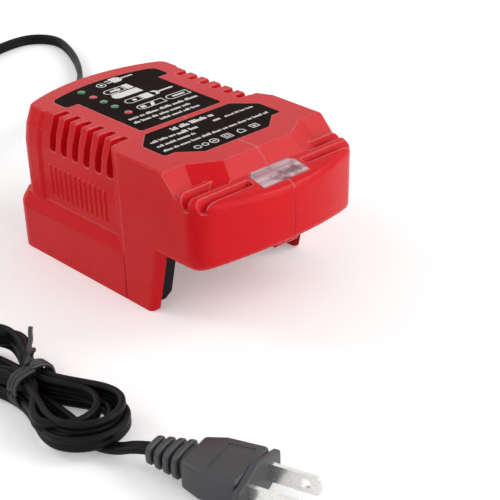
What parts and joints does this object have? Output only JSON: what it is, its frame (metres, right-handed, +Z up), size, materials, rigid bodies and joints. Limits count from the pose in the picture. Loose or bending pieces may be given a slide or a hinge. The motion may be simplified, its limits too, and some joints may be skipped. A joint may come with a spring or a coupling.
{
  "type": "power tool battery charger",
  "caption": "Slide-on charger for a power tool battery: hollow two-leg housing with side vents, status labels, a light window and a tied mains cord.",
  "frame": {"origin": "middle of the housing's footprint, on the surface that the two legs stand on", "axes": "+Z up, -Y towards the end with the light window, where the battery slides in; the cord leaves at +Y"},
  "size_m": [0.2313, 0.4062, 0.06],
  "materials": {
    "housing": "fine satin moulding",
    "lens": "clear moulded polycarbonate",
    "label_film": "printed film",
    "guide_plastic": "glass-filled nylon",
    "contact_metal": "tinned brass",
    "circuit_board": "solder mask",
    "screw_steel": "zinc plated",
    "component_plastic": "moulded epoxy",
    "coil_wire": "taped winding",
    "can_sleeve": "shrink sleeve",
    "sink_aluminium": "extruded",
    "ferrite": "sintered",
    "light_body": "tinted epoxy",
    "cord_rubber": "soft vinyl",
    "lead_sleeve": "soft vinyl",
    "tie_plastic": "coated wire",
    "plug_plastic": "moulded vinyl",
    "plug_metal": "nickel plated brass"
  },
  "bodies": {
    "root": {"left_shell": "housing", "right_shell": "housing", "front_lens": "lens", "upper_label": "label_film", "lower_label": "label_film", "left_guide_rail": "guide_plastic", "right_guide_rail": "guide_plastic", "terminal_block": "guide_plastic", "contact_blades": "contact_metal", "main_board": "circuit_board", "board_screws": "screw_steel", "mains_fuse": "component_plastic", "x_capacitor": "component_plastic", "line_choke": "coil_wire", "bridge_rectifier": "component_plastic", "bulk_capacitor": "can_sleeve", "switch_transistor": "component_plastic", "switch_heatsink": "sink_aluminium", "transformer_core": "ferrite", "transformer_winding": "coil_wire", "output_diode": "component_plastic", "output_capacitors": "can_sleeve", "control_chip": "component_plastic", "indicator_board": "circuit_board", "board_pins": "contact_metal", "indicator_lights": "light_body", "window_lights": "light_body", "case_screws": "screw_steel", "cord_strain_relief": "cord_rubber", "mains_leads": "lead_sleeve", "mains_cord": "cord_rubber", "cord_hank": "cord_rubber", "hank_tie": "tie_plastic", "plug_tail": "cord_rubber", "plug_body": "plug_plastic", "plug_blades": "plug_metal"}
  },
  "joints": []
}
